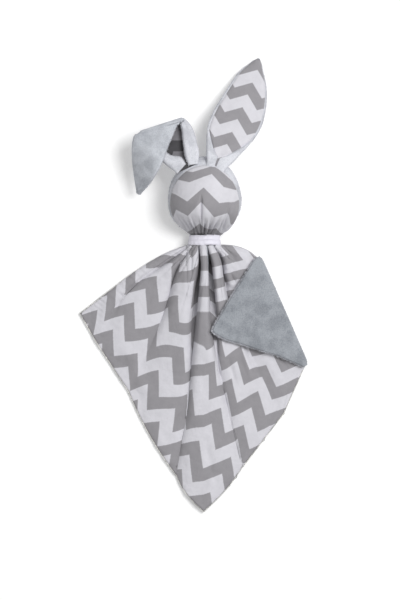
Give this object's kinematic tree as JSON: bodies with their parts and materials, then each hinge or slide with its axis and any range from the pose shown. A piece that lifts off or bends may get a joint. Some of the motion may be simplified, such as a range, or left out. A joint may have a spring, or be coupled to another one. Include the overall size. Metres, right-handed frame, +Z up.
{
  "type": "comfort blanket lovey",
  "caption": "Soft comforter for a baby: a stuffed faceless bunny head with limp two-layer ears, gathered by a ribbon into a square cotton and plush blanket with one corner turned over.",
  "frame": {"origin": "centre of the lying object's footprint, on the surface it lies on", "axes": "+Y from the blanket's bottom corner towards the ears, +Z up away from the surface, +X to the right seen from above"},
  "size_m": [0.2132, 0.4292, 0.0594],
  "materials": {
    "print": "matte printed cotton, grey and white zigzag",
    "plush": "short-pile plush, grey",
    "ribbon": "satin, white with a lavender cast",
    "stuffing": "white polyester fibre"
  },
  "bodies": {
    "blanket": {"blanket_print_panel": "print", "blanket_plush_panel": "plush"},
    "corner": {"corner_print_panel": "print", "corner_plush_panel": "plush"},
    "head": {"head_print_panel": "print", "head_plush_panel": "plush", "head_stuffing": "stuffing", "neck_band": "ribbon"},
    "right_ear": {"right_ear_print_panel": "print", "right_ear_plush_panel": "plush"},
    "left_ear_stem": {"left_ear_stem_print_panel": "print", "left_ear_stem_plush_panel": "plush"},
    "left_ear_flap": {"left_ear_flap_print_panel": "print", "left_ear_flap_plush_panel": "plush"}
  },
  "joints": [
    {"name": "head_nod", "type": "hinge", "parent": "blanket", "child": "head", "pos_m": [0.0113, 0.0381, 0.0231], "axis": [1, 0, 0], "range_deg": [0, 70]},
    {"name": "right_ear_lift", "type": "hinge", "parent": "head", "child": "right_ear", "pos_m": [0.0221, 0.1126, 0.0491], "axis": [0.9285, -0.3714, 0], "range_deg": [0, 90]},
    {"name": "left_ear_lift", "type": "hinge", "parent": "head", "child": "left_ear_stem", "pos_m": [-0.0046, 0.1122, 0.0455], "axis": [0.7976, 0.6032, 0], "range_deg": [0, 60]},
    {"name": "left_ear_fold", "type": "hinge", "parent": "left_ear_stem", "child": "left_ear_flap", "pos_m": [-0.03265, 0.14929, 0.034], "axis": [-0.9532, -0.3024, 0], "range_deg": [0, 150]},
    {"name": "corner_turn", "type": "hinge", "parent": "blanket", "child": "corner", "pos_m": [0.08429, -0.0248, 0.00495], "axis": [-0.4013, 0.916, 0], "range_deg": [0, 165]}
  ]
}
